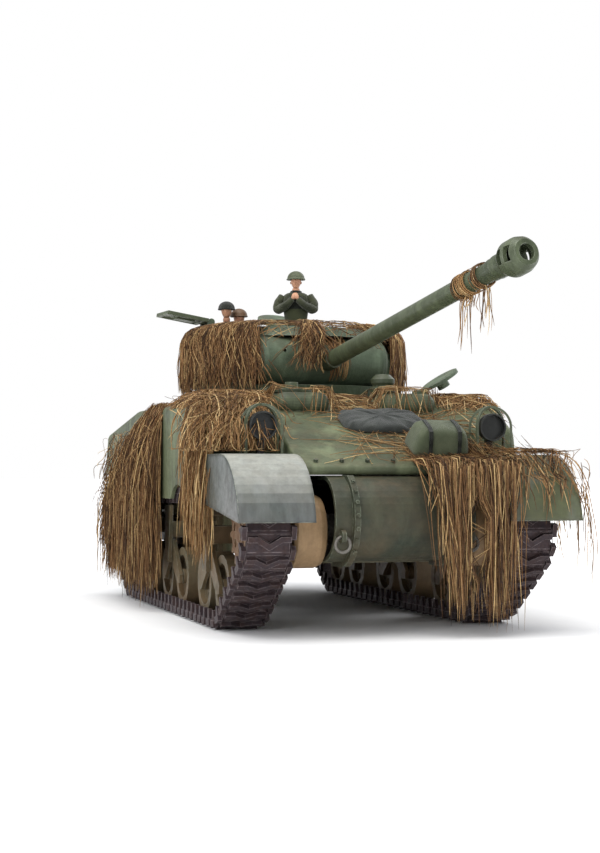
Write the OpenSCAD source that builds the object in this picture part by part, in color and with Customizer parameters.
// Radio-controlled model tank, 1/16 size, dressed with raffia camouflage.
// X runs to the tank's left, -Y is forward, Z is up, in millimetres.
// Sizes below are given from the middle of the hull; the frame moves it all onto the origin.

/* [Hull] */
// Width over the hull sides
hull_w = 164; // [150:1:190]
// Length from the nose to the tail plate
hull_l = 368; // [350:1:420]
// Height of the hull roof above the ground
roof_z = 117; // [112:1:126]
// Height of the belly plate above the ground
belly_z = 34; // [30:1:38]
// Thickness of the hull and turret shells
shell = 2; // [1.5:0.1:3]
// Height of the sponson floor above the ground
sponson_z = 77; // [76:1:84]
// Height of the lower edge of the side skirts
skirt_z = 64; // [58:1:70]
// Gap between a side skirt and the track
skirt_gap = 0.75; // [0.5:0.05:2]

/* [Running gear] */
// Width of one track
track_w = 26.5; // [22:0.5:30]
// Links in one track
track_links = 77; // [70:1:90]
// Thickness of a link's pad
pad_t = 2.6; // [2:0.1:3.5]
// Height of the chevron cleat on a link
cleat_h = 2.2; // [1:0.1:3]
// Radius of a track pin
pin_r = 1.1; // [0.8:0.05:1.3]
// Radius of the track's pins round the drive sprocket
sprocket_pitch_r = 20; // [18:0.5:22]
// Teeth on a sprocket ring
sprocket_teeth = 13; // [11:1:15]
// Radius of an idler wheel
idler_r = 16.6; // [14:0.2:18]
// Radius of a road wheel over its tyre
wheel_r = 15.9; // [14:0.1:17]
// Width of a road wheel
wheel_w = 14.3; // [12:0.1:16]
// Distance between the two wheels of a bogie
wheel_pitch = 40; // [36:0.5:44]
// Distance between bogies
bogie_pitch = 95; // [88:1:100]
// Radius of a return roller
roller_r = 5.5; // [4:0.1:7]
// Running gap between a wheel and the track
wheel_gap = 0.4; // [0.2:0.05:0.8]

/* [Turret] */
// Distance of the turret's axis behind the middle of the hull
turret_y = 15; // [0:1:30]
// Largest radius of the turret casting
turret_r = 60; // [54:0.5:64]
// Height of the turret roof above the ground
turret_top_z = 161; // [156:1:168]
// Traverse of the turret as it stands, in degrees to the left
rest_traverse = 6.5; // [0:0.5:30]
// Elevation of the gun as it stands, in degrees
rest_elevation = 9; // [0:0.5:15]

/* [Gun] */
// Radius of the gun tube
barrel_r = 4.7; // [4:0.1:6]
// Radius of the bore at the muzzle
bore_r = 2.6; // [1.5:0.1:3]
// Length from the trunnions to the muzzle
gun_reach = 236; // [180:1:260]
// Length of the muzzle brake
brake_l = 25; // [20:0.5:30]
// Largest radius of the muzzle brake
brake_r = 8.6; // [7:0.1:10]
// Radius of the mantlet drum
mantlet_r = 13.5; // [11:0.1:15]
// Width of the mantlet
mantlet_w = 78; // [66:1:84]

/* [Fits and gears] */
// Radial running clearance of a shaft in its bore
shaft_gap = 0.08; // [0.03:0.01:0.1]
// Clearance between neighbouring parts that turn or swing
part_gap = 0.4; // [0.3:0.05:0.8]
// Radius of the wheel axles
axle_r = 1.5; // [1:0.1:2]
// Tooth size of the drive gears: pitch diameter per tooth
gear_module = 0.7; // [0.6:0.05:0.8]
// Teeth on the final gear of a sprocket shaft
final_teeth = 28; // [24:1:30]
// Teeth on a motor pinion
pinion_teeth = 10; // [9:1:12]
// Teeth on the turret ring gear
ring_teeth = 72; // [60:1:76]
// Tooth size of the turret gears
ring_module = 1.25; // [1.1:0.05:1.3]

/* [Camouflage] */
// How far the side curtains stand out from the hull side at their foot
curtain_out = 14; // [8:0.5:18]
// Thickness of the raffia on the turret
turret_raffia_t = 5; // [3:0.5:8]

/* [Hidden] */
SIDES = [["right", -1], ["left", 1]];
$fn = 48;

// Seen from the tank's right: where the hull's main lines lie
front_y = -hull_l / 2;
rear_y = hull_l / 2;
half_w = hull_w / 2;
glacis_top_y = front_y + 86;
foot_r = 2.5;
edge_r = 5;
foot_c = [front_y + 18, sponson_z + foot_r];
brow_c = [glacis_top_y + 4, roof_z - edge_r - 1];
glacis_turn = atan2(brow_c[1] - foot_c[1], brow_c[0] - foot_c[0]) + acos((foot_r - edge_r) / norm(brow_c - foot_c));
glacis_tilt = glacis_turn - 90;
function glacis_z(y) = foot_c[1] + (foot_r - (y - foot_c[0]) * cos(glacis_turn)) / sin(glacis_turn);
fender_back_y = front_y + 60;
track_x = half_w - shell - skirt_gap - track_w / 2;
tub_w = 2 * (track_x - track_w / 2 - 4.75);
tub_front_y = front_y + 34;
tub_rear_y = rear_y - 6;
nose_w = tub_w - 26;
nose_r = 20.7;
nose_c = [front_y + nose_r, sponson_z - 0.3 - nose_r];
flange_out = 2.6;
shackle_r = 3.6;
shackle_wire = 0.8;
shackle_eye_r = shackle_wire + 0.5;
shackle_at = [nose_w / 2 - 3, front_y - 1, nose_c[1] - 8];
deck_y = turret_y + turret_r + 4;
rear_roof_z = roof_z - 11;

// Track path round four circles: front wheel, rear wheel, idler, sprocket
link_half = pad_t / 2;
pin_z = link_half + cleat_h;
wheel_z = pin_z + link_half + wheel_gap + wheel_r;
wheel_ys = [for (b = [-1:1]) for (w = [-1, 1]) b * bogie_pitch + w * wheel_pitch / 2];
sprocket_c = [front_y + 26, 50];
idler_c = [rear_y - 28, 46];
idler_pitch_r = idler_r + wheel_gap + link_half + 0.7;
wheel_path_r = wheel_r + wheel_gap + link_half;
// Straight links cut the corner round the end wheels, so their circle is a little larger and further out
end_out = 2.2;
path = [[[wheel_ys[0] - end_out, wheel_z + 0.9], wheel_path_r + 0.9],
        [[wheel_ys[5] + end_out, wheel_z + 0.9], wheel_path_r + 0.9],
        [idler_c, idler_pitch_r], [sprocket_c, sprocket_pitch_r]];
function between(i) = path[(i + 1) % 4][0] - path[i % 4][0];
function tangent_angle(i) = atan2(between(i)[1], between(i)[0])
    - acos((path[i % 4][1] - path[(i + 1) % 4][1]) / norm(between(i)));
function turned(i) = (tangent_angle(i) - tangent_angle((i + 3) % 4) + 720) % 360;
function on_circle(i, a) = path[i % 4][0] + path[i % 4][1] * [cos(a), sin(a)];
function arc_l(i) = path[i][1] * turned(i) * PI / 180;
function line_l(i) = norm(on_circle(i + 1, tangent_angle(i)) - on_circle(i, tangent_angle(i)));
path_l = arc_l(0) + line_l(0) + arc_l(1) + line_l(1) + arc_l(2) + line_l(2) + arc_l(3) + line_l(3);
function at_length(s, i = 0) =
    s <= arc_l(i) ? on_circle(i, tangent_angle((i + 3) % 4) + s / path[i][1] * 180 / PI) :
    s <= arc_l(i) + line_l(i) ? on_circle(i, tangent_angle(i))
        + (s - arc_l(i)) / line_l(i) * (on_circle(i + 1, tangent_angle(i)) - on_circle(i, tangent_angle(i))) :
    at_length(s - arc_l(i) - line_l(i), (i + 1) % 4);
link_pitch = path_l / track_links;
top_from = on_circle(2, tangent_angle(2));
top_to = on_circle(3, tangent_angle(2));
function top_run_z(y) = top_from[1] + (y - top_from[0]) / (top_to[0] - top_from[0]) * (top_to[1] - top_from[1]);
sprocket_tip_r = sprocket_pitch_r * cos(link_pitch / sprocket_pitch_r * 90 / PI) - link_half - wheel_gap;
roller_ys = [for (b = [-1:1]) b * bogie_pitch + 13];

// Drive gears: the motor's pinion lies straight behind the final gear
gear_w = 3.5;
gear_x = nose_w / 2 + 7;
pinion_y = sprocket_c[0] + gear_module * (final_teeth + pinion_teeth) / 2;
housing_r = 17.8;
housing_out_x = tub_w / 2 + 4;
motor_r = 8;

// Turret gears
ring_r = ring_module * ring_teeth / 2;
traverse_teeth = 12;
traverse_pinion_r = ring_module * traverse_teeth / 2;
ring_z = roof_z - 9;
ring_h = 5;
neck_r = ring_r - 4;

// Gun and turret
trunnion_r = 38;
trunnion_z = turret_top_z - 20;
barrel_drop = 3;
turret_base_z = roof_z + 3;
mantlet_slot = mantlet_r + part_gap;
cupola = [-32, 14];
cupola_r = 12;
loader = [8, 14];
loader_r = 11;
bustle_back = 78;
hatch_t = 1.8;

// The frame's origin is on the ground under the middle of the whole outline
gun_tip_y = turret_y - (trunnion_r + gun_reach * cos(rest_elevation)) * cos(rest_traverse) - 1;
frame_y = -(gun_tip_y + rear_y) / 2;

module at_origin() {
    translate([0, frame_y, 0]) children();
}

module both_sides() {
    for (s = [-1, 1]) scale_side(s) children();
}

module scale_side(s) {
    if (s < 0) mirror([1, 0, 0]) children();
    else children();
}

// A cylinder along X, centred on the point [x, y, z]
module x_rod(at, r, l, fn = 48) {
    translate(at) rotate([0, 90, 0]) cylinder(r = r, h = l, center = true, $fn = fn);
}

// A box from its lowest to its highest corner
module span(a, b) {
    translate(a) cube(b - a);
}

// A plate across the tank: an outline in Y and Z, drawn through X from x0 to x1
module across(x0, x1) {
    translate([x0, 0, 0]) rotate([90, 0, 90]) linear_extrude(x1 - x0) children();
}

function polar(r, a) = r * [cos(a), sin(a)];

// A spur gear about Z with straight-sided teeth that leave backlash
module spur(teeth, m, h, bore) {
    pitch_r = m * teeth / 2;
    root_r = pitch_r - 1.15 * m;
    tip_r = pitch_r + 0.85 * m;
    root_half = 0.29 * pitch_r / root_r;
    tip_half = 0.13 * pitch_r / tip_r;
    linear_extrude(h) difference() {
        polygon([for (i = [0:teeth - 1])
                     for (p = [[root_r, -root_half], [tip_r, -tip_half], [tip_r, tip_half], [root_r, root_half]])
                         polar(p[0], (i + p[1]) * 360 / teeth)]);
        circle(r = bore);
    }
}

// ---------------------------------------------------------------- hull

module lower_hull() {
    color("darkolivegreen") difference() {
        union() {
            difference() {
                span([-tub_w / 2, tub_front_y, belly_z], [tub_w / 2, tub_rear_y, sponson_z - 0.3]);
                span([-tub_w / 2 + shell, tub_front_y - 1, belly_z + shell],
                     [tub_w / 2 - shell, tub_rear_y - shell, sponson_z + 1]);
            }
            both_sides() x_rod([tub_w / 2 + 4, idler_c[0], idler_c[1]], 7, 8);
            for (y = [turret_y - 55, turret_y + 15]) for (x = [-22, 22])
                translate([x, y, belly_z + shell - 0.5]) cylinder(r = 2.4, h = 12.5);
        }
        both_sides() x_rod([tub_w / 2 + 2, idler_c[0], idler_c[1]], axle_r + 1 + shaft_gap, 20);
    }
}

module nose_shape(out) {
    intersection() {
        polygon([[tub_front_y - 0.3, nose_c[1] + nose_r + out],
                 for (a = [90:10:270]) nose_c + (nose_r + out) * [cos(a), sin(a)],
                 [tub_front_y - 0.3, nose_c[1] - nose_r - out]]);
        translate([front_y - 20, 0]) square([100, sponson_z - 0.3]);
    }
}

module lug_plate() {
    // the eye sits at its own origin and the plate runs back into the nose
    difference() {
        across(-1, 1) difference() {
            union() {
                circle(r = 3.2);
                translate([0, -2.4]) square([9, 4.8]);
            }
            circle(r = shackle_eye_r);
        }
    }
}

module transmission_cover() {
    color("darkolivegreen") {
        difference() {
            union() {
                across(-nose_w / 2, nose_w / 2) nose_shape(0);
                both_sides() across(nose_w / 2 - 11.5, nose_w / 2 - 8.5) nose_shape(flange_out);
                both_sides() translate([shackle_at[0], shackle_at[1], shackle_at[2]]) lug_plate();
            }
            across(-nose_w / 2 - 1, nose_w / 2 + 1)
                polygon([[tub_front_y + 1, nose_c[1] + nose_r - shell],
                         for (a = [90:10:270]) nose_c + (nose_r - shell) * [cos(a), sin(a)],
                         [tub_front_y + 1, nose_c[1] - nose_r + shell]]);
        }
    }
}

module final_drive_housings() {
    color("burlywood") both_sides() difference() {
        intersection() {
            translate([nose_w / 2 + 0.2, sprocket_c[0], sprocket_c[1]]) rotate([0, 90, 0]) rotate_extrude()
                polygon([[0, 0], [housing_r - 4, 0], [housing_r - 1.2, 1.2], [housing_r, 4],
                         [housing_r, housing_out_x - nose_w / 2 - 1.5],
                         [housing_r - 1.5, housing_out_x - nose_w / 2], [0, housing_out_x - nose_w / 2]]);
            span([0, front_y - 5, 0], [half_w, tub_front_y - 0.3, 100]);
        }
        x_rod([gear_x + 1, sprocket_c[0], sprocket_c[1]], housing_r - 1.8, 2 * gear_w + 6);
        x_rod([housing_out_x, sprocket_c[0], sprocket_c[1]], axle_r + 1 + shaft_gap, 40);
    }
}

// Solid outline of the upper hull; inset shrinks it all round
module hull_block(inset) {
    edge = edge_r;
    hull() both_sides() {
        for (p = [[glacis_top_y + 4, roof_z], [deck_y, roof_z], [rear_y - 8, rear_roof_z]])
            translate([half_w - edge, p[0], p[1] - edge - 1]) sphere(r = edge - inset, $fn = 24);
        span([0, fender_back_y + inset, sponson_z + inset], [half_w - inset, rear_y - inset, sponson_z + 3 + inset]);
        translate([half_w - edge, fender_back_y + edge, glacis_z(fender_back_y) - edge])
            sphere(r = edge - inset, $fn = 24);
    }
    hull() both_sides() {
        translate([tub_w / 2 - edge, glacis_top_y + 4, roof_z - edge - 1]) sphere(r = edge - inset, $fn = 24);
        x_rod([0, foot_c[0], foot_c[1]], foot_r - inset, tub_w - 2 * inset, 24);
        span([0, foot_c[0] + inset, sponson_z + inset],
             [tub_w / 2 - inset, fender_back_y + 20, sponson_z + 3]);
    }
}

hood_x = 29;
hatch_y = glacis_top_y + 12;
hatch_r = 9;

module driver_hoods() {
    both_sides() hull() {
        for (x = [-9, 9]) for (p = [[-7, 4.5], [14, 5]])
            translate([hood_x + x, glacis_top_y + p[0], roof_z + 1.5 - p[1]]) sphere(r = 5.5, $fn = 24);
    }
}

// Two ears and a pin along Y that carry a lid's knuckle; foot is how far the ears reach down
module hinge_ears(foot) {
    for (y = [-knuckle_half - part_gap - 2, knuckle_half + part_gap]) {
        translate([0, y, 0]) rotate([-90, 0, 0]) cylinder(r = 2, h = 2);
        span([-2, y, -foot], [2, y + 2, 0]);
    }
    rotate([90, 0, 0]) cylinder(r = hinge_pin_r, h = 2 * knuckle_half + 3, center = true, $fn = 24);
}

// The lid's side of that hinge
module knuckle() {
    rotate([90, 0, 0]) difference() {
        cylinder(r = knuckle_r, h = 2 * knuckle_half, center = true);
        cylinder(r = hinge_pin_r + shaft_gap, h = 60, center = true, $fn = 24);
    }
}

module upper_hull() {
    color("olivedrab") both_sides() hatch_hinge_place() hinge_ears(6.5);
    color("olivedrab") difference() {
        union() {
            hull_block(0);
            driver_hoods();
            translate([0, turret_y, roof_z - 2.5]) cylinder(r = neck_r + 11, h = turret_base_z - part_gap - roof_z + 2.5);
            both_sides() difference() {
                span([half_w - shell, fender_back_y + 6, skirt_z], [half_w, rear_y - 12, sponson_z + 4]);
                for (y = [-bogie_pitch / 2, bogie_pitch / 2, bogie_pitch * 1.5])
                    x_rod([half_w, y, skirt_z - 16], 24, 10);
            }
        }
        hull_block(shell);
        // the crew floor is open between the sponsons, down into the tub
        span([-tub_w / 2 + shell + 0.3, tub_front_y, sponson_z - 1],
             [tub_w / 2 - shell - 0.3, tub_rear_y - shell, sponson_z + 8]);
        translate([0, turret_y, roof_z - 30]) cylinder(r = neck_r + part_gap, h = 60);
        both_sides() translate([hood_x, hatch_y, roof_z - 9]) cylinder(r = hatch_r, h = 20);
        // the roof behind the turret carries the engine deck in a shallow seat
        span([-deck_w / 2 - part_gap, deck_y + 8, rear_roof_z - 9], [deck_w / 2 + part_gap, rear_y - 14, roof_z + 20]);
    }
}

deck_w = 104;

module engine_deck() {
    slope = atan2(roof_z - rear_roof_z, rear_y - 8 - deck_y);
    deck_l = rear_y - 14 - (deck_y + 8) - 2 * part_gap;
    color("olivedrab") {
        translate([0, deck_y + 8 + part_gap, roof_z - 1 - 8 * tan(slope)]) rotate([-slope, 0, 0]) {
            span([-deck_w / 2, 0, -2.6], [deck_w / 2, deck_l, 0]);
            for (i = [0:7]) for (x = [-34, 34])
                span([x - 14, 10 + i * 8, -0.2], [x + 14, 14 + i * 8, 1.4]);
            span([-12, 8, -0.2], [12, 26, 1.2]);
            for (x = [-9, 9]) translate([x, 44, -0.2]) cylinder(r = 5, h = 2);
        }
    }
}

fender_in_x = tub_w / 2 + 0.3;
fender_out_x = half_w + 3;
fender_r = 37;
fender_z = 87;

module fender_arc(r) {
    c = [sprocket_c[0] - 2, fender_z - fender_r];
    polygon([[c[0], c[1]], for (a = [180:-7.5:90]) c + r * [cos(a), sin(a)],
             [fender_back_y - 0.3, c[1] + r], [fender_back_y - 0.3, c[1]]]);
}

module front_fenders() {
    sheet = 1.6;
    lip_z = 55;
    color("slategray") both_sides() difference() {
        intersection() {
            across(fender_in_x, fender_out_x) fender_arc(fender_r);
            span([0, front_y - 40, lip_z], [200, 0, 200]);
        }
        across(fender_in_x - 1, fender_out_x - sheet) fender_arc(fender_r - sheet);
        across(0, 200) polygon([[fender_back_y + 1, lip_z - 1], [fender_back_y + 1, lip_z + 8], [front_y - 13, lip_z],
                                [front_y - 20, lip_z - 1]]);
    }
}

lamp_at = [60, front_y + 42, fender_z + 14];
lamp_r = 7;

module headlamps() {
    color("dimgray") both_sides() translate(lamp_at) {
        rotate([90, 0, 0]) rotate_extrude()
            polygon([[0, -11], [3, -10.5], [lamp_r - 1, -3], [lamp_r, 0], [lamp_r, 4], [lamp_r - 0.8, 4],
                     [lamp_r - 0.8, 1], [0, 1]]);
        span([-1.6, 1.2, -14], [1.6, 4.4, -4]);
    }
}

module lamp_guards() {
    hoop_r = lamp_r + 3.4;
    color("darkslategray") both_sides() translate(lamp_at) for (a = [-28, 28]) rotate([0, 0, a]) {
        rotate([90, 0, 0]) linear_extrude(1.2, center = true) difference() {
            circle(r = hoop_r + 0.6);
            circle(r = hoop_r - 0.6);
            translate([-20, -40]) square([40, 40]);
        }
        for (x = [-hoop_r, hoop_r]) span([x - 0.6, -0.6, -14], [x + 0.6, 0.6, 0.05]);
    }
}

module ventilator() {
    color("darkslategray") translate([hood_x - 1, hatch_y + hatch_r + 10, roof_z - 1]) rotate_extrude()
        polygon([[0, 0], [7.5, 0], [7.5, 2], [6, 3], [6, 5], [7, 6], [7, 8], [5.5, 9.5], [6.5, 11], [6.5, 13],
                 [4, 15.5], [0, 16]]);
}

// Places its children on the glacis at x and y, with Z square to the plate
module on_glacis(x, y) {
    translate([x, y, glacis_z(y)]) rotate([glacis_tilt, 0, 0]) children();
}

module stowage_pack() {
    color("olivedrab") on_glacis(26, front_y + 33) hull() {
        span([-15, -12, 0.1], [15, 8, 4]);
        span([-11, -9, 0.1], [13, 8, 15]);
    }
}

module tarpaulin() {
    color("dimgray") on_glacis(10, front_y + 62) span([-24, -13, 0.1], [20, 13, 5.5]);
}

module hull_bolts() {
    color("gray") {
        both_sides() for (a = [130:15:220])
            translate([nose_w / 2 - 10, nose_c[0] + (nose_r + flange_out) * cos(a), nose_c[1] + (nose_r + flange_out) * sin(a)])
                rotate([a - 90, 0, 0]) translate([0, 0, 0.02]) cylinder(r = 1.1, h = 1.2, $fn = 6);
        for (i = [-3:3]) on_glacis(i * 13, front_y + 20) translate([0, 0, 0.02]) cylinder(r = 1.2, h = 1.5, $fn = 6);
    }
}

// Hatch lids of the hull swing on an axis along Y at their outer edge
lid_tilt = 32;
knuckle_half = 5;
knuckle_r = 1.5;
hinge_pin_r = 0.6;
lid_r = hatch_r + 1.6;

module hatch_lid() {
    difference() {
        union() {
            translate([-lid_r - 3, 0, -hatch_t / 2]) cylinder(r = lid_r, h = hatch_t);
            span([-6, -knuckle_half, -hatch_t / 2], [0, knuckle_half, hatch_t / 2]);
            translate([-lid_r - 3, 0, hatch_t / 2 - 0.2]) cylinder(r = 3.4, h = 4);
        }
        rotate([90, 0, 0]) cylinder(r = 1.2, h = 60, center = true);
    }
    knuckle();
}

module hatch_hinge_place() {
    translate([hood_x + lid_r + 3, hatch_y, roof_z + 3.9]) children();
}

module driver_hatch() {
    color("olivedrab") hatch_hinge_place() rotate([0, 180 - lid_tilt, 0]) hatch_lid();
}

module codriver_hatch() {
    color("olivedrab") mirror([1, 0, 0]) hatch_hinge_place() hatch_lid();
}

// A ring hanging in its eye, free to swing
module tow_shackle() {
    color("silver") translate([0, 0, -shackle_r]) rotate([90, 0, 0])
        rotate_extrude() translate([shackle_r, 0]) circle(r = shackle_wire, $fn = 16);
}

module tow_shackle_right() {
    mirror([1, 0, 0]) translate(shackle_at) tow_shackle();
}

module tow_shackle_left() {
    translate(shackle_at) tow_shackle();
}

// ---------------------------------------------------------------- running gear

module track_link() {
    inner_w = track_w - 5.6;
    horn_h = 5;
    difference() {
        union() {
            span([-inner_w / 2, 0.45, -link_half], [inner_w / 2, link_pitch - 0.45, link_half]);
            translate([0, 0, -link_half - cleat_h]) linear_extrude(cleat_h + 0.2)
                polygon([[-inner_w / 2, 1.2], [-5.5, 1.2], [0, 4.6], [5.5, 1.2], [inner_w / 2, 1.2],
                         [inner_w / 2, 4], [6.2, 4], [0, 7.9], [-6.2, 4], [-inner_w / 2, 4]]);
        }
        x_rod([0, link_pitch, 0], pin_r + 0.25, track_w, 20);
    }
    x_rod([0, 0, 0], pin_r, track_w - 0.6, 20);
    both_sides() {
        span([inner_w / 2 + 0.3, -3.2, -link_half - 0.6], [track_w / 2, 3.2, link_half]);
        across(inner_w / 2 + 0.3, track_w / 2 - 0.5)
            polygon([[-2, link_half - 0.1], [2, link_half - 0.1], [0.7, link_half + horn_h], [-0.7, link_half + horn_h]]);
    }
}

module track() {
    color("dimgray") for (k = [0:track_links - 1]) {
        a = at_length(k * link_pitch);
        b = at_length((k + 1) % track_links * link_pitch);
        translate([track_x, a[0], a[1]]) rotate([atan2(b[1] - a[1], b[0] - a[0]), 0, 0]) track_link();
    }
}

module sprocket_ring() {
    root_r = sprocket_tip_r - 3.4;
    step = 360 / sprocket_teeth;
    difference() {
        polygon([for (i = [0:sprocket_teeth - 1]) for (p = [[root_r, -0.24], [sprocket_tip_r, -0.1], [sprocket_tip_r, 0.1],
                                                            [root_r, 0.24], [root_r, 0.5]])
                     polar(p[0], (i + p[1]) * step)]);
        for (i = [0:6]) rotate(i * 360 / 7) translate([9.2, 0]) circle(r = 2.2, $fn = 24);
    }
}

module sprocket() {
    ring_x = wheel_w / 2 + 1;
    color("sienna") translate([track_x, sprocket_c[0], sprocket_c[1]]) rotate([0, 90, 0]) {
        for (x = [-ring_x, ring_x]) translate([0, 0, x - 1]) linear_extrude(2) sprocket_ring();
        translate([0, 0, -ring_x - 1.6]) cylinder(r = 5.4, h = 2 * ring_x + 3.2);
    }
    color("silver") x_rod([(track_x + gear_x) / 2 - 1, sprocket_c[0], sprocket_c[1]], axle_r + 1, track_x - gear_x);
    color("gold") translate([gear_x - gear_w / 2, sprocket_c[0], sprocket_c[1]]) rotate([0, 90, 0])
        spur(final_teeth, gear_module, gear_w, axle_r + 0.5);
}

module motor_pinion() {
    color("gold") translate([gear_x - gear_w / 2, pinion_y, sprocket_c[1]]) rotate([0, 90, 0])
        rotate([0, 0, mesh_turn(90, final_teeth, 0, pinion_teeth)])
            spur(pinion_teeth, gear_module, gear_w, 0.6);
    color("silver") x_rod([gear_x - 6, pinion_y, sprocket_c[1]], 1, 14);
}

// How far a small gear is turned so that its gap takes the tooth of a big gear turned by big_turn,
// when the small one lies in the direction line from the big one
function mesh_turn(line, big, big_turn, small) =
    line + 180 + ((line - big_turn) * big / 360 - floor((line - big_turn) * big / 360) + 0.5) * 360 / small;

module idler() {
    color("darkkhaki") difference() {
        translate([track_x, idler_c[0], idler_c[1]]) union() {
            for (x = [-wheel_w / 2 + 2, wheel_w / 2 - 2]) difference() {
                x_rod([x, 0, 0], idler_r, 4);
                for (i = [0:5]) rotate([i * 60, 0, 0]) x_rod([x, idler_r * 0.56, 0], idler_r * 0.19, 10, 24);
            }
            x_rod([0, 0, 0], 6, wheel_w);
        }
        x_rod([track_x, idler_c[0], idler_c[1]], axle_r + 0.6, 40);
    }
    color("silver") x_rod([track_x - 8, idler_c[0], idler_c[1]], axle_r + 1, 30);
}

module road_wheel(y) {
    color("darkkhaki") difference() {
        translate([track_x, y, wheel_z]) union() {
            difference() {
                x_rod([0, 0, 0], wheel_r, wheel_w, 72);
                x_rod([wheel_w / 2, 0, 0], wheel_r - 4.2, 6);
                x_rod([-wheel_w / 2, 0, 0], wheel_r - 4.2, 6);
                for (i = [0:4]) rotate([i * 72, 0, 0]) x_rod([0, 8.2, 0], 2.3, 40, 24);
            }
            x_rod([0, 0, 0], 4, wheel_w);
        }
        x_rod([track_x, y, wheel_z], axle_r + shaft_gap, 40);
    }
}

module return_roller(y) {
    color("darkkhaki") difference() {
        x_rod([track_x, y, roller_z(y)], roller_r, wheel_w - 2);
        x_rod([track_x, y, roller_z(y)], axle_r + shaft_gap, 40);
    }
}

function roller_z(y) = top_run_z(y) - link_half - wheel_gap - 0.3 - roller_r;

arm_out_x = track_x + wheel_w / 2 + 0.5;
arm_in_x = track_x - wheel_w / 2 - 0.5;
bracket_z = 36;
// Inner face of the guide horns on the wheels' side
horn_x = track_x - track_w / 2 + 2.5;

module bogie_bracket(y) {
    top = min(sponson_z - 14, top_run_z(y) - link_half - 6);
    // the post outside the wheels, the web over them and the foot on the tub
    across(arm_out_x + 2.3, arm_out_x + 4.3)
        polygon([[y - 9, top], [y - 4.4, bracket_z - 8], [y + 4.4, bracket_z - 8], [y + 6, top]]);
    across(tub_w / 2 + 0.2, arm_out_x + 2.4)
        polygon([[y - 8, 42 + 9], [y - 5, 42], [y + 5, 42], [y + 4, 42 + 9]]);
    span([tub_w / 2 + 0.2, y - 12, bracket_z - 4], [tub_w / 2 + 3.2, y + 12, 56]);
    // the stalk and pin of the return roller
    rz = roller_z(y + 13);
    across(tub_w / 2 + 0.2, horn_x + 2)
        polygon([[y + 2, 44], [y + 16, rz - 4], [y + 16, rz + 0.3], [y + 10, rz + 0.3], [y - 4, 51]]);
    across(horn_x + 0.5, track_x - wheel_w / 2 + 0.4)
        polygon([[y + 10, rz - 3], [y + 16, rz - 3], [y + 16, rz + 2.5], [y + 10, rz + 2.5]]);
    x_rod([track_x - 2.5, y + 13, rz], axle_r, wheel_w + 1);
}

module bogie_brackets() {
    color("burlywood") both_sides() for (b = [-1:1]) bogie_bracket(b * bogie_pitch);
}

module bogie_arm(y, s) {
    for (x = [[arm_out_x, arm_out_x + 2], [arm_in_x - 2, arm_in_x]])
        across(x[0], x[1]) polygon([[y + s * 1.2, 40.5], [y + s * 6, 40.5], [y + s * (wheel_pitch / 2 + 4), wheel_z + 1],
                                    [y + s * (wheel_pitch / 2 + 3), wheel_z - 3.6], [y + s * (wheel_pitch / 2 - 3), wheel_z - 3.6],
                                    [y + s * 1.2, 30]]);
    x_rod([track_x, y + s * wheel_pitch / 2, wheel_z], axle_r, wheel_w + 5);
}

module bogie_arms() {
    color("burlywood") both_sides() for (b = [-1:1]) for (s = [-1, 1]) bogie_arm(b * bogie_pitch, s);
}

// ---------------------------------------------------------------- turret and gun

module turret_pose() {
    translate([0, turret_y, 0]) rotate([0, 0, rest_traverse]) children();
}

module gun_pose() {
    turret_pose() translate([0, -trunnion_r, trunnion_z]) rotate([-rest_elevation, 0, 0]) children();
}

module turret_block(inset) {
    hull() {
        translate([0, 0, turret_base_z + inset]) cylinder(r = turret_r - 5 - inset, h = 3, $fn = 72);
        translate([0, 0, turret_base_z + 14]) cylinder(r = turret_r - inset, h = 8, $fn = 72);
        translate([0, 2, turret_top_z - 6 - inset]) cylinder(r1 = turret_r - 7 - inset, r2 = turret_r - 10 - inset, h = 3, $fn = 72);
        translate([0, 4, turret_top_z - 4 - inset]) cylinder(r = turret_r - 15 - inset, h = 4, $fn = 72);
        for (x = [-20, 20]) translate([x, bustle_back - 8, turret_base_z + 10 + inset]) {
            cylinder(r = 8 - inset, h = turret_top_z - turret_base_z - 18 - 2 * inset, $fn = 32);
            cylinder(r = 5.5 - inset, h = turret_top_z - turret_base_z - 15 - 2 * inset, $fn = 32);
        }
    }
}

well_d = 9;

// The well under a roof hatch, whose floor carries the figures
module hatch_well(at, r) {
    translate([at[0], at[1], turret_top_z - well_d - 1.5]) difference() {
        cylinder(r = r + 1.2, h = well_d);
        translate([0, 0, 1.5]) cylinder(r = r, h = well_d);
    }
}

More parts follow.
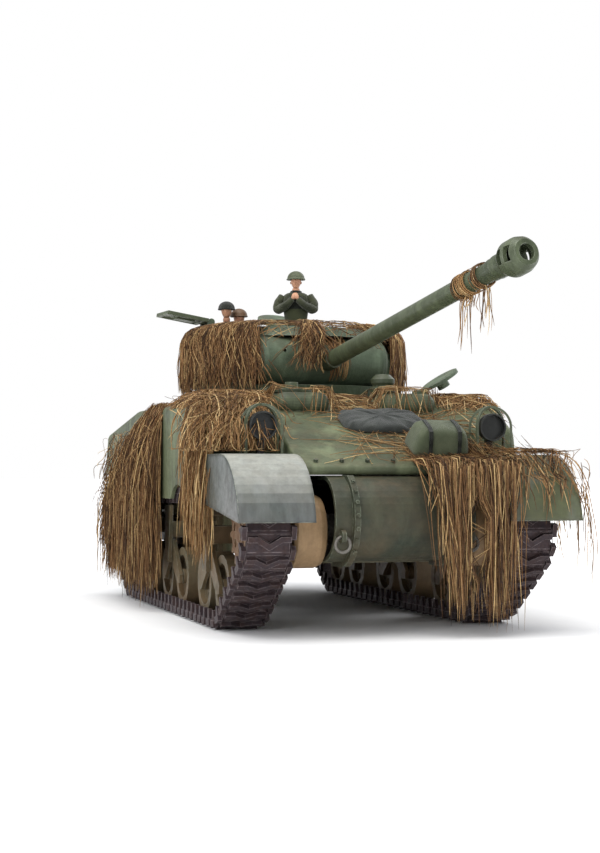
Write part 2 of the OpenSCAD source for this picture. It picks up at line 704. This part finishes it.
module turret_shell() {
    cheek_x = mantlet_w / 2 + part_gap;
    color("olivedrab") turret_pose() {
        difference() {
            union() {
                difference() {
                    union() {
                        turret_block(0);
                        translate([cupola[0], cupola[1], turret_top_z - 2]) cylinder(r = cupola_r + 2.4, h = 5);
                        translate([loader[0], loader[1], turret_top_z - 2]) cylinder(r = loader_r + 1.6, h = 5);
                    }
                    turret_block(shell);
                    translate([cupola[0], cupola[1], turret_top_z - 10]) cylinder(r = cupola_r, h = 30);
                    translate([loader[0], loader[1], turret_top_z - 10]) cylinder(r = loader_r, h = 30);
                    x_rod([0, -trunnion_r, trunnion_z], mantlet_slot, 2 * cheek_x, 96);
                    span([-cheek_x, -turret_r - 20, trunnion_z - mantlet_slot],
                         [cheek_x, -trunnion_r, trunnion_z + mantlet_slot]);
                }
                both_sides() intersection() {
                    span([cheek_x, -trunnion_r - 5, trunnion_z - 6], [cheek_x + 9, -trunnion_r + 6, trunnion_z + 6]);
                    translate([0, 0, trunnion_z - 10]) cylinder(r = turret_r - 1, h = 20);
                }
            }
            translate([0, 0, turret_base_z - 1]) cylinder(r = ring_r - 8, h = 6);
            x_rod([0, -trunnion_r, trunnion_z], trunnion_pin_r + shaft_gap, 2 * cheek_x + 2 * trunnion_pin_l);
        }
        hatch_well(cupola, cupola_r);
        hatch_well(loader, loader_r);
        translate([cupola[0] - cupola_r - 4, cupola[1], lid_z]) hinge_ears(7.5);
        translate([loader[0], loader[1] + loader_r + 4, lid_z]) rotate([0, 0, 90]) hinge_ears(7.5);
    }
}

lid_z = turret_top_z + 3 + knuckle_r + part_gap;
trunnion_pin_r = 3;
trunnion_pin_l = 3.4;

module turret_ring_gear() {
    color("silver") turret_pose() difference() {
        union() {
            translate([0, 0, ring_z]) spur(ring_teeth, ring_module, ring_h, ring_r - 8);
            translate([0, 0, ring_z + ring_h - 0.1]) cylinder(r = neck_r, h = turret_base_z - ring_z - ring_h + 0.1);
        }
        translate([0, 0, ring_z - 1]) cylinder(r = ring_r - 8, h = 40);
    }
}

module traverse_pinion() {
    // its tooth gap faces the ring on the line between the two axes
    x = ring_r + traverse_pinion_r;
    color("gold") translate([0, turret_y + x, ring_z])
        rotate([0, 0, mesh_turn(90, ring_teeth, rest_traverse, traverse_teeth)]) spur(traverse_teeth, ring_module, ring_h, 0.9);
    color("silver") translate([0, turret_y + x, ring_z - 10]) cylinder(r = 1.2, h = 14);
}

module mantlet() {
    end_r = 4;
    color("darkseagreen") gun_pose() difference() {
        rotate([0, 90, 0]) rotate_extrude($fn = 96)
            polygon([[0, -mantlet_w / 2], [mantlet_r - end_r, -mantlet_w / 2],
                     for (a = [-60, -30]) [mantlet_r - end_r + end_r * cos(a), -mantlet_w / 2 + end_r + end_r * sin(a)],
                     [mantlet_r, -mantlet_w / 2 + end_r], [mantlet_r, mantlet_w / 2 - end_r],
                     for (a = [30, 60]) [mantlet_r - end_r + end_r * cos(a), mantlet_w / 2 - end_r + end_r * sin(a)],
                     [mantlet_r - end_r, mantlet_w / 2], [0, mantlet_w / 2]]);
        span([-mantlet_w / 2 + 3, -mantlet_r + 5, -mantlet_r + 4.5], [mantlet_w / 2 - 3, mantlet_r + 1, mantlet_r - 4.5]);
        translate([0, 0, -barrel_drop]) rotate([90, 0, 0]) cylinder(r = barrel_r + shaft_gap, h = 100, center = true);
        translate([-25, 0, 3]) rotate([90, 0, 0]) cylinder(r = 1, h = 30);
    }
    color("silver") gun_pose() both_sides()
        x_rod([mantlet_w / 2 + trunnion_pin_l / 2 - 0.1, 0, 0], trunnion_pin_r, trunnion_pin_l);
}

module gun_barrel() {
    tube_l = gun_reach - brake_l + 4;
    color("darkolivegreen") gun_pose() translate([0, 0, -barrel_drop]) rotate([90, 0, 0]) difference() {
        union() {
            translate([0, 0, -10]) cylinder(r = barrel_r, h = tube_l + 10);
            translate([0, 0, mantlet_r + 1]) cylinder(r = barrel_r + 0.7, h = 9);
            translate([0, 0, tube_l - 9]) cylinder(r = barrel_r + 0.6, h = 4);
        }
        translate([0, 0, tube_l - 40]) cylinder(r = bore_r, h = 60);
    }
}

module muzzle_brake() {
    tube_l = gun_reach - brake_l + 4;
    color("darkolivegreen") gun_pose() translate([0, 0, -barrel_drop]) rotate([90, 0, 0])
        translate([0, 0, tube_l - 4]) difference() {
            rotate_extrude($fn = 64)
                polygon([[barrel_r + shaft_gap, 0], [barrel_r + 1, 0], [barrel_r + 1, 5], [barrel_r + 0.4, 8],
                         [brake_r - 1.2, 10], [brake_r, 13], [brake_r, brake_l - 6], [brake_r - 0.9, brake_l - 2.6],
                         [brake_r - 2.6, brake_l], [bore_r + 1.2, brake_l], [bore_r + 1.2, brake_l - 3],
                         [brake_r - 2.2, brake_l - 4.5], [brake_r - 2.2, 13], [barrel_r + shaft_gap, 11]]);
            for (z = [12, 18.3]) span([-20, -3.6, z], [20, 3.6, z + 4]);
        }
}

hatch_w = 22;

module commander_hatch() {
    color("darkslategray") turret_pose() translate([cupola[0] - cupola_r - 4, cupola[1], lid_z])
        rotate([0, -171, 0]) {
            difference() {
                union() {
                    span([3, -hatch_w / 2, -1.1], [28, hatch_w / 2, 1.1]);
                    span([0, -knuckle_half, -1.1], [3.2, knuckle_half, 1.1]);
                }
                rotate([90, 0, 0]) cylinder(r = 1.2, h = 60, center = true);
                span([5, -hatch_w / 2 + 2, 0.3], [26, hatch_w / 2 - 2, 3]);
            }
            span([9, -4, 0.2], [20, 4, 1.6]);
            knuckle();
        }
}

module loader_hatch() {
    color("olivedrab") turret_pose() translate([loader[0], loader[1] + loader_r + 4, lid_z]) rotate([0, 0, 90])
        rotate([0, -20, 0]) {
            difference() {
                union() {
                    translate([loader_r + 4.4, 0, -hatch_t / 2]) cylinder(r = loader_r + 1.4, h = hatch_t);
                    span([0, -knuckle_half, -hatch_t / 2], [6, knuckle_half, hatch_t / 2]);
                }
                rotate([90, 0, 0]) cylinder(r = 1.2, h = 60, center = true);
            }
            knuckle();
        }
}

// Height of the standing figure's belt above the roof
crew_up = 15;

// A seated half figure: tapered body, two folded arms, head and helmet
module crew_half() {
    color("darkolivegreen") {
        translate([0, 0, -crew_up - well_d]) cylinder(r1 = 5.5, r2 = 7.2, h = crew_up + 4 + well_d);
        translate([0, 0, 3.9]) cylinder(r1 = 8.6, r2 = 8, h = 6.2);
        both_sides() translate([8.2, 0, 8.6]) rotate([0, 152, 0]) cylinder(r1 = 3.3, r2 = 2.8, h = 11);
        both_sides() translate([11, -1, -0.6]) rotate([68, 0, -52]) cylinder(r = 2.4, h = 11);
    }
    color("tan") translate([0, 0, 9.9]) cylinder(r = 2.6, h = 4);
    color("tan") translate([0, -0.6, 16]) sphere(r = 4);
    color("olive") translate([0, 0, 17.2]) intersection() {
        sphere(r = 6);
        translate([0, 0, 4]) cube([20, 20, 8.2], center = true);
    }
}

module crew_loader() {
    turret_pose() translate([loader[0], loader[1], turret_top_z + crew_up]) crew_half();
}

// A head and shoulders that stand on the well's floor; up is the head's height above the roof
module crew_head(up, hat_r) {
    color("olive") translate([0, 0, -well_d]) cylinder(r1 = 4.4, r2 = 5, h = well_d + up - 7);
    color("tan") translate([0, 0, up - 7.1]) cylinder(r = 2.6, h = 5);
    color("tan") translate([0, -0.4, up]) sphere(r = 4);
    color("olive") translate([0, 0, up + 1]) intersection() {
        sphere(r = hat_r);
        translate([0, 0, 5]) cube([20, 20, 10], center = true);
    }
}

module crew_cupola() {
    turret_pose() translate([cupola[0] - 4.7, cupola[1] - 1.6, turret_top_z]) crew_head(12, 5.4);
    turret_pose() translate([cupola[0] + 5, cupola[1] + 3.4, turret_top_z]) crew_head(8.5, 5.2);
}

// ---------------------------------------------------------------- raffia

module side_curtain() {
    // hangs from the shoulder of the hull and stands out further towards its foot
    foot_z = 20;
    out = half_w + curtain_out;
    translate([0, fender_back_y + 130, 0]) rotate([90, 0, 180]) mirror([1, 0, 0]) linear_extrude(128)
        polygon([[half_w + 0.3, roof_z - 12], [half_w + 0.3, roof_z - 34], [half_w + 0.3, foot_z + 8], [half_w + 3, foot_z],
                 [out - 1, foot_z + 3], [out, foot_z + 40], [out - 5, foot_z + 70]]);
}

module raffia_hull() {
    c = [sprocket_c[0] - 2, fender_z - fender_r];
    color("peru") {
        both_sides() side_curtain();
        // a bundle down the right front corner, between the side and the fender
        mirror([1, 0, 0]) span([half_w + 0.3, fender_back_y + 1, 40], [half_w + 9, fender_back_y + 32, roof_z - 8]);
        // a mat on the roof ahead of the turret, right of the hatch
        span([-half_w + 7, glacis_top_y + 6, roof_z - 0.7], [-half_w + 34, glacis_top_y + 52, roof_z + 3]);
        // bundles over the edge of the nose on the left
        span([19, front_y - 12, 8], [27, front_y - flange_out - 2, sponson_z]);
        span([shackle_at[0] + 5, front_y - 12, 8], [fender_in_x - 0.5, front_y - flange_out - 0.3, sponson_z]);
        // the layer over the left fender
        across(fender_in_x + 6, fender_out_x - 3) difference() {
            polygon([c, for (a = [178:-8:98]) c + (fender_r + 3) * [cos(a), sin(a)]]);
            circle_at(c, fender_r + 0.3);
        }
    }
}

module circle_at(c, r) {
    translate(c) circle(r = r, $fn = 96);
}

module turret_arc(from, to, r0, z0, z1) {
    rotate([0, 0, from]) rotate_extrude(angle = to - from, $fn = 96)
        polygon([[r0, z0], [r0 + turret_raffia_t, z0], [r0 + turret_raffia_t, z1 - 3], [r0 + turret_raffia_t - 2, z1], [r0, z1]]);
}

module raffia_turret() {
    color("peru") turret_pose() {
        turret_arc(150, 226, turret_r + 0.4, turret_base_z + 2, turret_top_z - 3);
        turret_arc(-44, 30, turret_r + 0.4, turret_base_z + 2, turret_top_z - 3);
    }
}

module raffia_barrel() {
    at = gun_reach - brake_l - 28;
    color("peru") gun_pose() translate([0, 0, -barrel_drop]) rotate([90, 0, 0]) {
        translate([0, 0, at]) difference() {
            cylinder(r = barrel_r + 1.2, h = 5);
            translate([0, 0, -1]) cylinder(r = barrel_r + 0.3, h = 7);
        }
        span([-1.2, -barrel_r - 20, at + 1], [1.2, -barrel_r - 0.6, at + 4]);
    }
}

// ---------------------------------------------------------------- electrics

module battery_pack() {
    color("royalblue") span([-21, deck_y - 20, belly_z + shell], [21, deck_y + 72, belly_z + shell + 22]);
}

module control_board() {
    board_z = belly_z + shell + 12.3;
    color("green") difference() {
        span([-27, turret_y - 62, board_z], [27, turret_y + 22, board_z + 1.6]);
        for (y = [turret_y - 55, turret_y + 15]) for (x = [-22, 22])
            translate([x, y, board_z - 1]) cylinder(r = 1.2, h = 4);
    }
    color("black") for (p = [[-12, -40], [10, -30], [-8, -8], [12, 6]])
        span([p[0] - 6, turret_y + p[1] - 6, board_z + 1.5], [p[0] + 6, turret_y + p[1] + 6, board_z + 5]);
}

module motors() {
    out_x = nose_w / 2 - 0.5;
    color("silver") both_sides() difference() {
        union() {
            x_rod([(out_x + 4) / 2, pinion_y, sprocket_c[1]], motor_r, out_x - 4);
            span([8, pinion_y - 4, belly_z + shell + 0.02], [out_x - 4, pinion_y + 4, sprocket_c[1] - 4]);
        }
        x_rod([out_x, pinion_y, sprocket_c[1]], 1 + shaft_gap, 60, 32);
    }
    color("silver") difference() {
        union() {
            translate([0, turret_y + ring_r + traverse_pinion_r, ring_z - 34]) cylinder(r = 7, h = 32);
            span([-tub_w / 2 + shell + 0.4, turret_y + ring_r + traverse_pinion_r - 4, sponson_z - 6],
                 [tub_w / 2 - shell - 0.4, turret_y + ring_r + traverse_pinion_r + 4, sponson_z - 3]);
        }
        translate([0, turret_y + ring_r + traverse_pinion_r, ring_z - 12]) cylinder(r = 1.2 + shaft_gap, h = 60, $fn = 32);
    }
}

// ---------------------------------------------------------------- nodes

at_origin() lower_hull();
at_origin() transmission_cover();
at_origin() final_drive_housings();
at_origin() upper_hull();
at_origin() engine_deck();
at_origin() front_fenders();
at_origin() headlamps();
at_origin() lamp_guards();
at_origin() ventilator();
at_origin() stowage_pack();
at_origin() tarpaulin();
at_origin() hull_bolts();
at_origin() driver_hatch();
at_origin() codriver_hatch();
at_origin() tow_shackle_right();
at_origin() tow_shackle_left();
at_origin() bogie_brackets();
at_origin() bogie_arms();
for (side = SIDES) {
    at_origin() scale_side(side[1]) track();
    at_origin() scale_side(side[1]) sprocket();
    at_origin() scale_side(side[1]) idler();
    at_origin() scale_side(side[1]) motor_pinion();
    for (i = [1:6])
        at_origin() scale_side(side[1]) road_wheel(wheel_ys[i - 1]);
    for (i = [1:3])
        at_origin() scale_side(side[1]) return_roller(roller_ys[i - 1]);
}
at_origin() turret_shell();
at_origin() turret_ring_gear();
at_origin() traverse_pinion();
at_origin() commander_hatch();
at_origin() loader_hatch();
at_origin() mantlet();
at_origin() gun_barrel();
at_origin() muzzle_brake();
at_origin() crew_loader();
at_origin() crew_cupola();
at_origin() raffia_hull();
at_origin() raffia_turret();
at_origin() raffia_barrel();
at_origin() battery_pack();
at_origin() control_board();
at_origin() motors();
